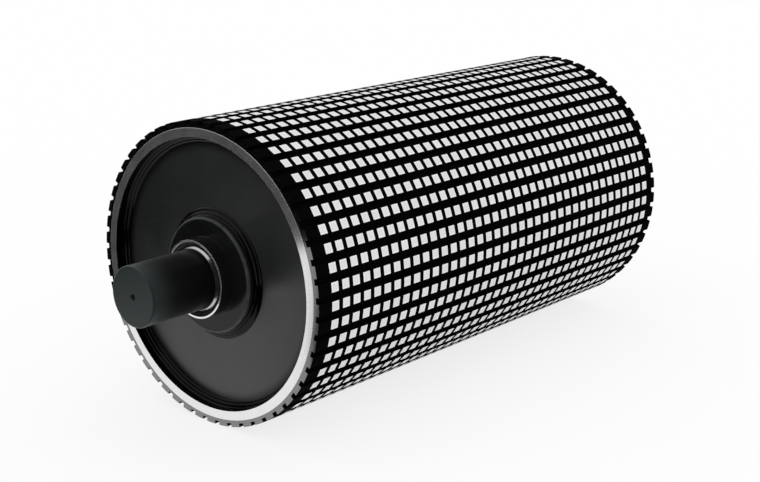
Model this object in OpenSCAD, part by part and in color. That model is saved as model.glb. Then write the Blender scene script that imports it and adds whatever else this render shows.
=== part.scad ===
// Conveyor pulley drum: a lagged steel drum that turns on a fixed shaft.
// Millimetres. The axis lies along Y and the origin is at the drum's centre on the axis.
// The front end faces -Y, and the rear end mirrors it.

/* [Drum] */
// Length of the shell along the axis
face_l = 1150; // [900:10:1400]
// Outside diameter of the steel shell
shell_d = 574; // [550:2:600]
// Wall of the steel shell
shell_t = 19; // [14:1:25]
// Thickness of the rubber lagging
lagging_t = 13; // [11:0.5:16]

/* [Lagging pattern] */
// Rows of tiles round the drum
tile_rows = 53; // [45:1:55]
// Side of a square tile
tile_w = 20; // [16:0.5:22]
// Thickness of a tile
tile_h = 6.5; // [5:0.5:7]
// Spacing of the tiles along a row
tile_pitch = 28.7; // [27:0.1:36]
// Least band of plain rubber at each end of a row
end_band = 33; // [20:1:60]
// Width of a drainage groove
groove_w = 12; // [8:0.5:13]
// Depth of a drainage groove
groove_depth = 7.5; // [7:0.5:9]

/* [End discs] */
// Thickness of an end disc
disc_t = 25; // [18:1:32]
// Depth of a disc's face below the shell's end
disc_set = 26.5; // [24:0.5:40]

/* [Hubs] */
// Outside diameter of a hub and its cover
hub_d = 230; // [220:1:260]
// Depth of the hub's inner end below the shell's end
hub_end = 100; // [92:1:130]
// Length of the neck that stands out of the cover
neck_l = 33; // [33:1:50]

/* [Shaft] */
// Length of shaft that stands out of the shell at each end
stub_l = 178; // [130:1:260]
// Diameter of a shaft end
stub_d = 118; // [110:1:126]
// Height of the shoulder behind each bearing
shoulder_h = 7.5; // [4:0.5:8]

/* [Bearings] */
// Outside diameter of a bearing
bearing_d = 180; // [172:1:188]
// Width of a bearing
bearing_w = 28; // [26:1:34]
// Balls in each bearing
ball_count = 15; // [9:1:16]

/* [Hidden] */
$fn = 144;
seat_r = stub_d / 2 + 1;
mid_r = seat_r + shoulder_h;
hub_r = hub_d / 2;
shell_r = shell_d / 2;
shell_in = shell_r - shell_t;
drum_r = shell_r + lagging_t;
row_step = 360 / tile_rows;
first_row = 2.65;
tile_cols = floor((face_l - 2 * end_band - tile_w) / tile_pitch) + 1;
row_l = (tile_cols - 1) * tile_pitch + tile_w;
tile_drop = 0.2;
cover_s = 4;
cover_t = 8;
hub_s = cover_s + cover_t;
neck_s = cover_s - neck_l;
sleeve_t = 4.5;
seal_h = 8.4;
neck_in = seat_r + sleeve_t + seal_h;
neck_wall = 4.1;
neck_r = neck_in + neck_wall;
clip_w = 4;
clip_h = 5;
clip_groove = 2;
clip_play = 0.2;
clip_gap = 10;
eye_r = 4.5;
eye_hole = 1.8;
bearing_s = 24;
shoulder_s = bearing_s + bearing_w;
bearing_r = bearing_d / 2;
spigot_in = bearing_r - 7;
seal_bore = bearing_r - 10;
pitch_r = (seat_r + bearing_r) / 2;
ball_d = 0.635 * (bearing_r - seat_r);
ball_gap = 0.3;
track_r = ball_d / 2 + ball_gap;
land_h = 0.3045 * ball_d;
cage_t = 0.378 * ball_d;
cage_w = 1.26 * ball_d;
rim_leg = 11.5;
hub_leg = 15;
hub_weld_h = min(10, disc_set - hub_s - 1);

// Points of a circular arc about [x, y], from angle a to angle b.
function arc(x, y, r, a, b, n = 8) = [
  for (i = [0 : n]) let (t = a + (b - a) * i / n) [x + r * cos(t), y + r * sin(t)]
];

// Revolves a profile of [radius, y] points about the drum's axis.
module turned(points) {
  rotate([-90, 0, 0])
    rotate_extrude() polygon(points);
}

// Revolves a profile of [radius, depth below the front end of the shell] points.
module end_turned(points) {
  translate([0, -face_l / 2, 0]) turned(points);
}

module rear() {
  mirror([0, 1, 0]) children();
}

// The shaft: two plain ends, two seats for seals and bearings, and a thicker middle.
module shaft() {
  half = face_l / 2;
  tip = half + stub_l;
  seat = half - neck_s + 1;
  mid = half - shoulder_s;
  color([0.28, 0.29, 0.29])
    turned(concat(
      [[0, -tip + 14], [3, -tip + 11], [3, -tip + 6], [6.5, -tip]],
      arc(stub_d / 2 - 3, -tip + 3, 3, -90, 0),
      [[stub_d / 2, -seat], [seat_r, -seat]],
      groove_points(-1),
      [[seat_r, -mid], [mid_r, -mid], [mid_r, mid], [seat_r, mid]],
      groove_points(1),
      [[seat_r, seat], [stub_d / 2, seat]],
      arc(stub_d / 2 - 3, tip - 3, 3, 0, 90),
      [[6.5, tip], [3, tip - 6], [3, tip - 11], [0, tip - 14]]
    ));
}

// The circlip's groove in the shaft, in the order that the profile runs.
function groove_points(side) =
  let (inner = face_l / 2 - bearing_s, outer = inner + clip_w + clip_play, r = seat_r - clip_groove)
  side < 0
    ? [[seat_r, -outer], [r, -outer], [r, -inner], [seat_r, -inner]]
    : [[seat_r, inner], [r, inner], [r, outer], [seat_r, outer]];

// The shell tube, with small chamfers at its ends.
module shell() {
  e = face_l / 2;
  c = 1;
  color([0.35, 0.36, 0.36])
    turned([
      [shell_in, -e + c], [shell_in + c, -e], [shell_r - c, -e], [shell_r, -e + c],
      [shell_r, e - c], [shell_r - c, e], [shell_in + c, e], [shell_in, e - c]
    ]);
}

// Turns its children to the middle of tile row k.
module at_row(k) {
  rotate([0, first_row + k * row_step, 0]) children();
}

// The rubber lagging: drainage grooves from end to end, and between them a closed-ended
// slot for each row of tiles.
module rubber_lagging() {
  color([0.06, 0.06, 0.06])
    difference() {
      turned([
        [shell_r, -face_l / 2], [drum_r, -face_l / 2], [drum_r, face_l / 2], [shell_r, face_l / 2]
      ]);
      for (k = [0 : tile_rows - 1])
        at_row(k + 0.5)
          translate([-groove_w / 2, -face_l / 2 - 1, drum_r - groove_depth])
            cube([groove_w, face_l + 2, groove_depth + 5]);
      for (k = [0 : tile_rows - 1])
        at_row(k)
          translate([-tile_w / 2, -row_l / 2, drum_r - tile_drop - tile_h])
            cube([tile_w, row_l, tile_h + 5]);
    }
}

// One row of square tiles, bedded flush in its slot.
module tile_row() {
  translate([0, -row_l / 2 + tile_w / 2, drum_r - tile_drop - tile_h])
    linear_extrude(tile_h)
      for (i = [0 : tile_cols - 1])
        translate([0, i * tile_pitch]) square(tile_w, center = true);
}

// Rows a to b of the tiles. The tiles are shared out over four nodes, a quarter of the drum each.
module tile_rows_between(a, b) {
  color([0.89, 0.89, 0.87])
    for (k = [a : b])
      at_row(k) tile_row();
}

function quarter(i) = round(tile_rows * i / 4);

module ceramic_tiles_1() {
  tile_rows_between(quarter(0), quarter(1) - 1);
}

module ceramic_tiles_2() {
  tile_rows_between(quarter(1), quarter(2) - 1);
}

module ceramic_tiles_3() {
  tile_rows_between(quarter(2), quarter(3) - 1);
}

module ceramic_tiles_4() {
  tile_rows_between(quarter(3), quarter(4) - 1);
}

// A flat end disc, with the hub in its middle.
module front_end_disc() {
  color([0.2, 0.21, 0.2])
    end_turned([
      [hub_r, disc_set], [shell_in, disc_set],
      [shell_in, disc_set + disc_t], [hub_r, disc_set + disc_t]
    ]);
}

module rear_end_disc() {
  rear() front_end_disc();
}

// A hub, bored for the bearing, with a shoulder behind it and a smaller bore for the inner seal.
module front_hub() {
  color([0.17, 0.18, 0.17])
    end_turned([
      [bearing_r + 1, hub_s], [hub_r - 1, hub_s], [hub_r, hub_s + 1], [hub_r, hub_end - 3],
      [hub_r - 3, hub_end], [seal_bore, hub_end], [seal_bore, shoulder_s],
      [bearing_r, shoulder_s], [bearing_r, hub_s + 1]
    ]);
}

module rear_hub() {
  rear() front_hub();
}

// A weld's section: two legs that meet in the corner, and a hollow face between their ends.
function weld(corner, a, b, n = 6) = concat(
  [corner],
  [for (i = [0 : n])
    let (t = i / n, c = 0.6 * (a + b) / 2 + 0.4 * corner)
    (1 - t) * (1 - t) * a + 2 * t * (1 - t) * c + t * t * b]
);

// The weld between the disc and the shell.
module front_rim_weld() {
  color([0.24, 0.25, 0.24])
    end_turned(weld([shell_in, disc_set], [shell_in, disc_set - rim_leg],
                    [shell_in - rim_leg, disc_set]));
}

module rear_rim_weld() {
  rear() front_rim_weld();
}

// The weld at the hub's foot.
module front_hub_weld() {
  color([0.24, 0.25, 0.24])
    end_turned(weld([hub_r, disc_set], [hub_r, disc_set - hub_weld_h],
                    [hub_r + hub_leg, disc_set]));
}

module rear_hub_weld() {
  rear() front_hub_weld();
}

// The bearing cover: a flange on the hub, a spigot that holds the outer ring, and the neck.
module front_bearing_cover() {
  edge = 5;
  color([0.15, 0.16, 0.15])
    end_turned(concat(
      [[neck_in, hub_s], [neck_in, neck_s + 0.6], [neck_in + 0.6, neck_s]],
      arc(neck_r - 1.2, neck_s + 1.2, 1.2, -90, 0, 4),
      arc(neck_r + 4, cover_s - 4, 4, 180, 90, 5),
      arc(hub_r - edge, cover_s + edge, edge, -90, 0, 8),
      [[hub_r, hub_s], [bearing_r, hub_s], [bearing_r, bearing_s],
       [spigot_in, bearing_s], [spigot_in, hub_s]]
    ));
}

module rear_bearing_cover() {
  rear() front_bearing_cover();
}

// The rubber lip seal in the neck.
module front_shaft_seal() {
  lip = seat_r + sleeve_t + 0.3;
  s = neck_s + 2;
  color([0.05, 0.05, 0.05])
    end_turned([
      [lip, s + 3], [lip + 1.2, s + 1.2], [lip + 3, s + 0.8], [neck_in - 1.6, s],
      [neck_in, s + 0.8], [neck_in, s + 12], [lip + 4, s + 12], [lip + 4, s + 4], [lip, s + 4.2]
    ]);
}

module rear_shaft_seal() {
  rear() front_shaft_seal();
}

// The bright sleeve that the seal runs on.
module front_seal_sleeve() {
  s = neck_s + 0.5;
  r = seat_r + sleeve_t;
  color([0.7, 0.7, 0.69])
    end_turned([
      [seat_r, s], [r - 0.5, s], [r, s + 0.5], [r, s + 17.5], [seat_r, s + 17.5]
    ]);
}

module rear_seal_sleeve() {
  rear() front_seal_sleeve();
}

// The grease seal behind the bearing.
module front_inner_seal() {
  s = shoulder_s + 8;
  lip = mid_r + 0.3;
  color([0.05, 0.05, 0.05])
    end_turned([
      [lip, s + 6], [lip + 3, s + 2], [lip + 3, s], [seal_bore, s],
      [seal_bore, s + 12], [lip + 5, s + 12], [lip + 5, s + 7.5], [lip, s + 7.2]
    ]);
}

module rear_inner_seal() {
  rear() front_inner_seal();
}

// The circlip that keeps the bearing on its seat, with two eyes at its gap.
module front_circlip() {
  r = seat_r + clip_h;
  x = clip_gap / 2 + eye_r - 0.5;
  color([0.45, 0.45, 0.44])
    translate([0, -face_l / 2 + bearing_s, 0])
      rotate([90, 0, 0])
        linear_extrude(clip_w)
          difference() {
            union() {
              circle(r = r);
              for (side = [-1, 1]) translate([side * x, -r]) circle(r = eye_r);
            }
            circle(r = seat_r - clip_groove);
            translate([-clip_gap / 2, -2 * r]) square([clip_gap, 2 * r]);
            for (side = [-1, 1]) translate([side * x, -r]) circle(r = eye_hole);
          }
}

module rear_circlip() {
  rear() front_circlip();
}

// The bearing's inner ring, with a hollow track for the balls.
module front_inner_ring() {
  c = bearing_s + bearing_w / 2;
  a = acos(land_h / track_r);
  land = pitch_r - land_h;
  color([0.6, 0.6, 0.6])
    end_turned(concat(
      [[seat_r, bearing_s], [land - 1, bearing_s], [land, bearing_s + 1]],
      arc(pitch_r, c, track_r, 180 + a, 180 - a, 10),
      [[land, shoulder_s - 1], [land - 1, shoulder_s], [seat_r, shoulder_s]]
    ));
}

module rear_inner_ring() {
  rear() front_inner_ring();
}

// The bearing's outer ring.
module front_outer_ring() {
  c = bearing_s + bearing_w / 2;
  a = acos(land_h / track_r);
  land = pitch_r + land_h;
  color([0.6, 0.6, 0.6])
    end_turned(concat(
      [[bearing_r, bearing_s], [bearing_r, shoulder_s], [land + 1, shoulder_s], [land, shoulder_s - 1]],
      arc(pitch_r, c, track_r, a, -a, 10),
      [[land, bearing_s + 1], [land + 1, bearing_s]]
    ));
}

module rear_outer_ring() {
  rear() front_outer_ring();
}

// Stands its children at each ball's place in the front bearing.
module ball_places() {
  translate([0, -face_l / 2 + bearing_s + bearing_w / 2, 0])
    for (i = [0 : ball_count - 1])
      rotate([0, i * 360 / ball_count, 0])
        translate([0, 0, pitch_r]) children();
}

// The cage: a ring with a round pocket for each ball.
module front_cage() {
  c = bearing_s + bearing_w / 2;
  h = cage_w / 2;
  a = pitch_r - cage_t / 2;
  b = pitch_r + cage_t / 2;
  color([0.62, 0.5, 0.25])
    difference() {
      end_turned([[a, c - h], [b, c - h], [b, c + h], [a, c + h]]);
      ball_places() cylinder(r = track_r, h = ball_d, center = true);
    }
}

module rear_cage() {
  rear() front_cage();
}

module front_balls() {
  color([0.75, 0.75, 0.76])
    ball_places() sphere(r = ball_d / 2);
}

module rear_balls() {
  rear() front_balls();
}

shaft();
shell();
rubber_lagging();
ceramic_tiles_1();
ceramic_tiles_2();
ceramic_tiles_3();
ceramic_tiles_4();
front_end_disc();
rear_end_disc();
front_hub();
rear_hub();
front_rim_weld();
rear_rim_weld();
front_hub_weld();
rear_hub_weld();
front_bearing_cover();
rear_bearing_cover();
front_shaft_seal();
rear_shaft_seal();
front_seal_sleeve();
rear_seal_sleeve();
front_inner_seal();
rear_inner_seal();
front_circlip();
rear_circlip();
front_inner_ring();
rear_inner_ring();
front_outer_ring();
rear_outer_ring();
front_cage();
rear_cage();
front_balls();
rear_balls();
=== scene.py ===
import math

import bmesh
import bpy
from bpy.props import FloatProperty, FloatVectorProperty, IntProperty, PointerProperty
from bpy.types import Operator, Panel, PropertyGroup
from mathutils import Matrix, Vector


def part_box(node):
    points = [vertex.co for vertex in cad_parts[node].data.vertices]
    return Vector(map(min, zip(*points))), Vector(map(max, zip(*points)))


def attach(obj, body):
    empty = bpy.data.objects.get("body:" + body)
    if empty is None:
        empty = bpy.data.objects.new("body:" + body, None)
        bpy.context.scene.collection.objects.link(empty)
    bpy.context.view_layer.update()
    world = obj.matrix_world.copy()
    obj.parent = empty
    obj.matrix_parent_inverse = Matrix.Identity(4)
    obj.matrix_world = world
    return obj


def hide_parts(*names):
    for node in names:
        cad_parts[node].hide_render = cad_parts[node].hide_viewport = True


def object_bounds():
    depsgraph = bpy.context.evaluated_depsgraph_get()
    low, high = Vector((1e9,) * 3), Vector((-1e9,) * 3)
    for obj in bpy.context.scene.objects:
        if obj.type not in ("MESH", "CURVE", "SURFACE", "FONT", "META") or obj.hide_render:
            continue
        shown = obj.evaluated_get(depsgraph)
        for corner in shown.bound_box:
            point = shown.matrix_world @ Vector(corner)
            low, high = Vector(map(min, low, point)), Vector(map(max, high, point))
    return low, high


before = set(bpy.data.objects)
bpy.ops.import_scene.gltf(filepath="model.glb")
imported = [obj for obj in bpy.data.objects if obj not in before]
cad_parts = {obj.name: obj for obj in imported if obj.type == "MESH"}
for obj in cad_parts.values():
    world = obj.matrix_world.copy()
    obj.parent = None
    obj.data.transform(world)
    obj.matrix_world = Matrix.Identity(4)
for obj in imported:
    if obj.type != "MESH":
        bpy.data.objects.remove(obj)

bl_info = {
    "name": "Conveyor pulley drum",
    "version": (1, 0, 0),
    "blender": (4, 5, 0),
    "location": "View3D > Sidebar > Pulley",
    "description": "Dresses a lagged conveyor pulley drum with its tiles, rubber, steel and paint",
    "category": "Object",
}

CAD_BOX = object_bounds()
HALF_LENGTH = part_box("shell")[1].y
DRUM_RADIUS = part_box("rubber_lagging")[1].x
SHAFT_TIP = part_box("shaft")[1].y
ENDS = (("front", -1), ("rear", 1))

# Fixed sizes. Depths go in from the shell's end.
BROKEN_EDGE = 0.0006  # fillet on the shell's and the hub's turned edges
COVER_EDGE = 0.005  # fillet on the cover's rounded edge
BEARING_OUTER = 0.024  # depth of a bearing's outer side
BEARING_INNER = 0.052  # depth of its inner side
HUB_SHOULDER = 0.010  # height of the hub's shoulder behind the bearing
SPIGOT_WALL = 0.007  # wall of the cover's spigot in the hub
RIM_WELD_LEG = 0.0115
HUB_WELD_LEGS = (0.010, 0.015)  # along the hub and along the disc
WELD_PASSES = 3
WELD_CROWN = 0.0009  # height of each pass above the weld's hollow face
SEAT_REACH = 0.030  # how far the shaft's seats stand out of the shell
CIRCLIP_OUTER = 0.0198  # depth of the outer wall of the circlip's groove
CIRCLIP_GROOVE = 0.002  # how deep the groove is cut in the shaft
CENTRE_MOUTH = 0.0065  # radius of a centre hole's mouth
CENTRE_DRILL = 0.003  # radius of its drilled part
CENTRE_CONE = 0.006  # how far in its cone ends
CENTRE_DEPTH = 0.011  # how far in its drilled wall ends
CENTRE_POINT = 0.014  # how far in the drill's point went
SEAL_SET = 0.002  # how far a lip seal is set back in the neck
SEAL_WIDTH = 0.012
LIP_GAP = 0.0003  # air between the seal's lip and its sleeve
SLEEVE_WALL = 0.0045
SLEEVE_OUT = 0.0015  # how far the sleeve stands out of the seal
SLEEVE_TAPER = 0.004
SLEEVE_WIDTH = 0.0175
FLOOR_GAP = 0.0005  # air between the drum and the floor
FLOOR_REACH = 30
FLAG_LIFT = 0.001  # air between a flag and the floor
LEFT_FLAG = ((-0.75, -3.2), (-0.75, -0.70), 0.50)  # start, end and height
RIGHT_FLAG = ((0.30, -2.6), (0.30, -0.62), 1.6)
LOW_FLAG = ((0.07, -0.78), (-0.62, -1.55), (3, -1.55), (3, -0.6))  # corners


# ------------------------------------------------------------------ settings


def length(name, description, default):
    """A setting that is a size."""
    return FloatProperty(
        name=name, description=description, default=default, subtype="DISTANCE", unit="LENGTH"
    )


def angle(name, description, degrees):
    """A setting that is an angle."""
    return FloatProperty(
        name=name, description=description, default=math.radians(degrees), subtype="ANGLE"
    )


def plain_number(name, description, default):
    """A setting without a unit."""
    return FloatProperty(name=name, description=description, default=default)


def colour(name, description, default):
    """A setting that is a linear colour."""
    return FloatVectorProperty(
        name=name, description=description, default=default, subtype="COLOR", min=0, max=1
    )


class PULLEY_PG_lagging(PropertyGroup):
    """Sizes of the rubber lagging and its tiles."""

    rows: IntProperty(name="Rows", description="Rows of tiles round the drum", default=53, min=8)
    columns: IntProperty(name="Columns", description="Tiles in a row", default=38, min=1)
    first_row: angle("First row", "Angle of the first row from the top", 2.65)
    tile_width: length("Tile width", "Side of a square tile", 0.020)
    tile_height: length("Tile height", "Thickness of a tile", 0.0065)
    tile_pitch: length("Tile pitch", "Spacing of tiles along a row", 0.0287)
    tile_drop: length("Tile drop", "Depth of a tile's top below the drum's outside", 0.0002)
    tile_edge: length("Tile edge", "Width of the bevel round a tile's top", 0.0004)
    tile_corner: length("Tile corner", "Radius of a tile's corners", 0.0010)
    tile_border: length("Tile border", "Width of the paler border round a tile's face", 0.0032)
    rubber_lip: length("Rubber lip", "How far the moulded rubber laps a tile's edge", 0.0007)
    groove_width: length("Groove width", "Width of a drainage groove", 0.012)
    groove_depth: length("Groove depth", "Depth of a drainage groove", 0.0075)
    groove_edge: length("Groove edge", "Worn bevel on a groove's edges", 0.0005)
    pocket_gap: length("Pocket gap", "Gap between a tile and its pocket", 0.0001)
    seed: IntProperty(name="Seed", description="Seed of the tiles' small differences", default=7)


class PULLEY_PG_steelwork(PropertyGroup):
    """Sizes of the shell, discs, hubs, covers and shaft. Depths go in from the shell's end."""

    shell_radius: length("Shell radius", "Outside radius of the shell", 0.287)
    shell_bore: length("Shell bore", "Inside radius of the shell", 0.268)
    disc_set: length("Disc set", "Depth of a disc below the shell's end", 0.0265)
    disc_thickness: length("Disc thickness", "Thickness of an end disc", 0.025)
    hub_radius: length("Hub radius", "Outside radius of hub and cover", 0.115)
    hub_face: length("Hub face", "Depth of the hub's outer face", 0.012)
    hub_end: length("Hub end", "Depth of the hub's inner face", 0.100)
    bearing_radius: length("Bearing radius", "Radius of the bearing's seat in the hub", 0.090)
    cover_face: length("Cover face", "Depth of the cover's face", 0.004)
    neck_tip: length("Neck tip", "How far the neck stands out of the shell", 0.029)
    neck_radius: length("Neck radius", "Outside radius of the neck", 0.077)
    neck_bore: length("Neck bore", "Inside radius of the neck", 0.0729)
    stub_radius: length("Stub radius", "Radius of a shaft end", 0.059)
    seat_radius: length("Seat radius", "Radius of the bearing seats on the shaft", 0.060)
    mid_radius: length("Middle radius", "Radius of the shaft between the bearings", 0.0675)
    steps: IntProperty(name="Steps", description="Facets round a turned piece", default=256, min=24)


class PULLEY_PG_finishes(PropertyGroup):
    """Colours of the finishes."""

    ceramic: colour("Ceramic", "Colour of the tiles", (0.86, 0.86, 0.855))
    rubber: colour("Rubber", "Colour of the lagging", (0.0016, 0.0016, 0.0017))
    seal_rubber: colour("Seal rubber", "Colour of the seals", (0.004, 0.004, 0.0042))
    shell_steel: colour("Shell steel", "Colour of the shell's turned end", (0.79, 0.79, 0.79))
    disc_paint: colour("Disc paint", "Colour of the painted discs", (0.0125, 0.0142, 0.0134))
    hub_paint: colour("Hub paint", "Colour of the painted hubs", (0.0050, 0.0056, 0.0053))
    # near black, darker than the discs: painted shade in the corners and in the shell's recess
    weld_paint_and_shade: colour("Weld paint", "Colour of the painted welds", (0.0004, 0.0004, 0.0004))
    shaft_steel: colour("Shaft steel", "Colour of the oiled shaft", (0.0112, 0.0192, 0.0184))
    bright_steel: colour("Bright steel", "Colour of ground steel", (0.80, 0.80, 0.79))
    spring_steel: colour("Spring steel", "Colour of the blued circlips", (0.12, 0.13, 0.16))
    brass: colour("Brass", "Colour of the ball cages", (0.62, 0.42, 0.16))


class PULLEY_PG_stage(PropertyGroup):
    """Camera, floor and light."""

    camera_place: FloatVectorProperty(
        name="Camera place",
        description="Where the camera stands",
        default=(1.9541, -2.3092, 0.7916),
        subtype="XYZ",
        unit="LENGTH",
    )
    camera_heading: angle("Heading", "Camera's turn from +Y towards -X", 41.762)
    camera_tilt: angle("Tilt", "Camera's tilt below the horizon", 15.320)
    lens: plain_number("Lens", "Focal length in millimetres", 67.05)
    shift_x: plain_number("Shift X", "Camera's sideways shift", 0.0219)
    shift_y: plain_number("Shift Y", "Camera's upward shift", -0.0072)
    sky: plain_number("Sky", "Strength of the white surroundings", 1.0)
    floor_colour: colour("Floor", "Colour of the floor", (0.98, 0.98, 0.98))
    floor_lift: plain_number("Floor lift", "How far the floor's shadow is lifted to white", 0.8)
    left_flag: plain_number("Left flag", "Tone of the flag on the left", 0.008)
    right_flag: plain_number("Right flag", "Tone of the flags on the right", 0.02)


def settings(group):
    """One of the current scene's groups of settings, by its short name."""
    return getattr(bpy.context.scene, "pulley_" + group)


# ---------------------------------------------------------------- node tools


def put(tree, value, socket):
    """Links a socket to an input, or writes a plain value into it."""
    if isinstance(value, bpy.types.NodeSocket):
        tree.links.new(value, socket)
    else:
        socket.default_value = value


def new_node(tree, kind, props=None, **inputs):
    """Adds a node. Props are its own settings. Inputs go by name, with _ for a space."""
    node = tree.nodes.new(kind)
    for key, value in (props or {}).items():
        setattr(node, key, value)
    for key, value in inputs.items():
        put(tree, value, node.inputs[key.replace("_", " ")])
    return node


def math_node(tree, operation, *values):
    """A Math node on numbers or sockets. Returns its output."""
    node = new_node(tree, "ShaderNodeMath", {"operation": operation})
    for value, socket in zip(values, node.inputs):
        put(tree, value, socket)
    return node.outputs[0]


def plus(tree, a, b):
    return math_node(tree, "ADD", a, b)


def minus(tree, a, b):
    return math_node(tree, "SUBTRACT", a, b)


def times(tree, a, b):
    return math_node(tree, "MULTIPLY", a, b)


def over(tree, a, b):
    return math_node(tree, "DIVIDE", a, b)


def join_xyz(tree, x, y, z):
    return new_node(tree, "ShaderNodeCombineXYZ", X=x, Y=y, Z=z).outputs[0]


def map_range(tree, value, source, target, smooth=False):
    """Maps a value from one range to another. A range is (low, high)."""
    return new_node(
        tree,
        "ShaderNodeMapRange",
        {"interpolation_type": "SMOOTHSTEP" if smooth else "LINEAR"},
        Value=value,
        From_Min=source[0],
        From_Max=source[1],
        To_Min=target[0],
        To_Max=target[1],
    ).outputs["Result"]


# ------------------------------------------------------------- shader groups


def object_place(tree):
    """Object coordinates. Returns a socket."""
    return new_node(tree, "ShaderNodeTexCoord").outputs["Object"]


def axis_place(tree):
    """The distance from the drum's axis and the place along it, as two sockets."""
    x, y, z = new_node(tree, "ShaderNodeSeparateXYZ", Vector=object_place(tree)).outputs
    square = plus(tree, times(tree, x, x), times(tree, z, z))
    return math_node(tree, "SQRT", square), y


def noise(tree, place, scale, **shape):
    """A noise texture over a place. Returns its factor, from 0 to 1."""
    return new_node(tree, "ShaderNodeTexNoise", Vector=place, Scale=scale, **shape).outputs["Fac"]


def shared_group(name, inputs, fill):
    """A shader group that is built once. Fill makes its nodes and returns its outputs by name."""
    if name in bpy.data.node_groups:
        return bpy.data.node_groups[name]
    tree = bpy.data.node_groups.new(name, "ShaderNodeTree")
    sockets = tree.interface
    for label, value in inputs.items():
        socket = sockets.new_socket(name=label, in_out="INPUT", socket_type="NodeSocketFloat")
        socket.default_value = value
    results = fill(tree, new_node(tree, "NodeGroupInput").outputs)
    for label in results:
        sockets.new_socket(name=label, in_out="OUTPUT", socket_type="NodeSocketFloat")
    out = new_node(tree, "NodeGroupOutput")
    for label, value in results.items():
        put(tree, value, out.inputs[label])
    return tree


def mottle(tree, scale, amount):
    """Cloudy light and dark over a surface: a Factor about 1 and a Mask from 0 to 1."""

    def fill(group, given):
        cloud = noise(group, object_place(group), given["Scale"], Detail=5.0, Roughness=0.6)
        lean = times(group, minus(group, cloud, 0.5), given["Amount"])
        return {"Factor": plus(group, lean, 1.0), "Mask": cloud}

    group = shared_group("Mottle", {"Scale": 20.0, "Amount": 0.1}, fill)
    return place_group(tree, group, Scale=scale, Amount=amount)


def turning_marks(tree, rings_per_metre, unevenness):
    """Fine rings round the drum's axis, as a lathe leaves them: a Height and a Mask."""

    def fill(group, given):
        radius, y = axis_place(group)
        rings = noise(group, join_xyz(group, radius, y, 0.0), given["Rings per metre"], Detail=3.0)
        cloud = noise(group, object_place(group), 14.0)
        uneven = times(group, cloud, given["Unevenness"])
        return {"Height": plus(group, rings, uneven), "Mask": rings}

    inputs = {"Rings per metre": 900.0, "Unevenness": 0.5}
    group = shared_group("Turning marks", inputs, fill)
    return place_group(tree, group, Rings_per_metre=rings_per_metre, Unevenness=unevenness)


def specks(tree, scale, size):
    """Small scattered specks, such as dust and nicks: a Mask that is 1 in a speck."""

    def fill(group, given):
        place = object_place(group)
        cells = new_node(group, "ShaderNodeTexVoronoi", Vector=place, Scale=given["Scale"])
        near = math_node(group, "LESS_THAN", cells.outputs["Distance"], given["Size"])
        some = math_node(group, "GREATER_THAN", noise(group, place, 9.0), 0.55)
        return {"Mask": times(group, near, some)}

    group = shared_group("Specks", {"Scale": 120.0, "Size": 0.12}, fill)
    return place_group(tree, group, Scale=scale, Size=size)


def place_group(tree, group, **values):
    """Places a shader group with its own values. Returns its outputs."""
    return new_node(tree, "ShaderNodeGroup", {"node_tree": group}, **values).outputs


def attribute(tree, name):
    """A number that a mesh carries. Returns a socket."""
    return new_node(tree, "ShaderNodeAttribute", {"attribute_name": name}).outputs["Fac"]


def spread(tree, mask, low, high):
    """Maps a noise mask, which lies mostly between 0.3 and 0.7, to the range low to high."""
    return map_range(tree, mask, (0.3, 0.7), (low, high))


def darkened(tree, factor, mask, share):
    """A factor made darker by a share where a mask is 1."""
    return times(tree, factor, minus(tree, 1.0, times(tree, mask, share)))


def edge_wear_and_highlight(tree, radius, y, reach):
    """A patchy mask that is 1 on a round edge at a radius and a distance from the middle, for wear
    and a painted highlight.
    """
    from_axis, along = axis_place(tree)
    out = minus(tree, from_axis, radius)
    past = minus(tree, math_node(tree, "ABSOLUTE", along), y)
    square = plus(tree, math_node(tree, "POWER", out, 2.0), math_node(tree, "POWER", past, 2.0))
    away = math_node(tree, "SQRT", square)
    near = map_range(tree, away, (reach / 3, reach), (1.0, 0.0), smooth=True)
    cloud = mottle(tree, 55.0, 1.0)["Mask"]
    return times(tree, near, spread(tree, cloud, 0.4, 1.0))


# ------------------------------------------------------------------ finishes


def new_material(name, metallic=0.0, specular=0.5, roughness=0.5):
    """A material with one Principled shader. Returns the material, its tree and its shader."""
    material = bpy.data.materials.new(name)
    material.use_nodes = True
    tree = material.node_tree
    shader = tree.nodes["Principled BSDF"]
    shader.inputs["Metallic"].default_value = metallic
    shader.inputs["Specular IOR Level"].default_value = specular
    shader.inputs["Roughness"].default_value = roughness
    return material, tree, shader


def add_surface(tree, shader, tint, factor, mask, roughness):
    """A colour that varies by a factor, and a roughness from low to high by a mask."""
    scaled = new_node(
        tree, "ShaderNodeVectorMath", {"operation": "SCALE"}, Vector=tuple(tint), Scale=factor
    )
    put(tree, scaled.outputs[0], shader.inputs["Base Color"])
    put(tree, spread(tree, mask, *roughness), shader.inputs["Roughness"])


def add_bump(tree, shader, height, strength, distance):
    bump = new_node(
        tree, "ShaderNodeBump", Height=height, Strength=strength, Distance=distance
    )
    put(tree, bump.outputs["Normal"], shader.inputs["Normal"])


def add_sheen(shader, weight):
    """A dusty or greasy film on a surface."""
    shader.inputs["Sheen Weight"].default_value = weight
    shader.inputs["Sheen Roughness"].default_value = 0.3


def clouded(name, tint, scale, amount, roughness, bump=None, **shine):
    """A finish that varies by a soft cloud alone. A bump is (strength, distance)."""
    material, tree, shader = new_material(name, **shine)
    cloud = mottle(tree, scale, amount)
    add_surface(tree, shader, tint, cloud["Factor"], cloud["Mask"], roughness)
    if bump:
        add_bump(tree, shader, cloud["Mask"], *bump)
    return material


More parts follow.
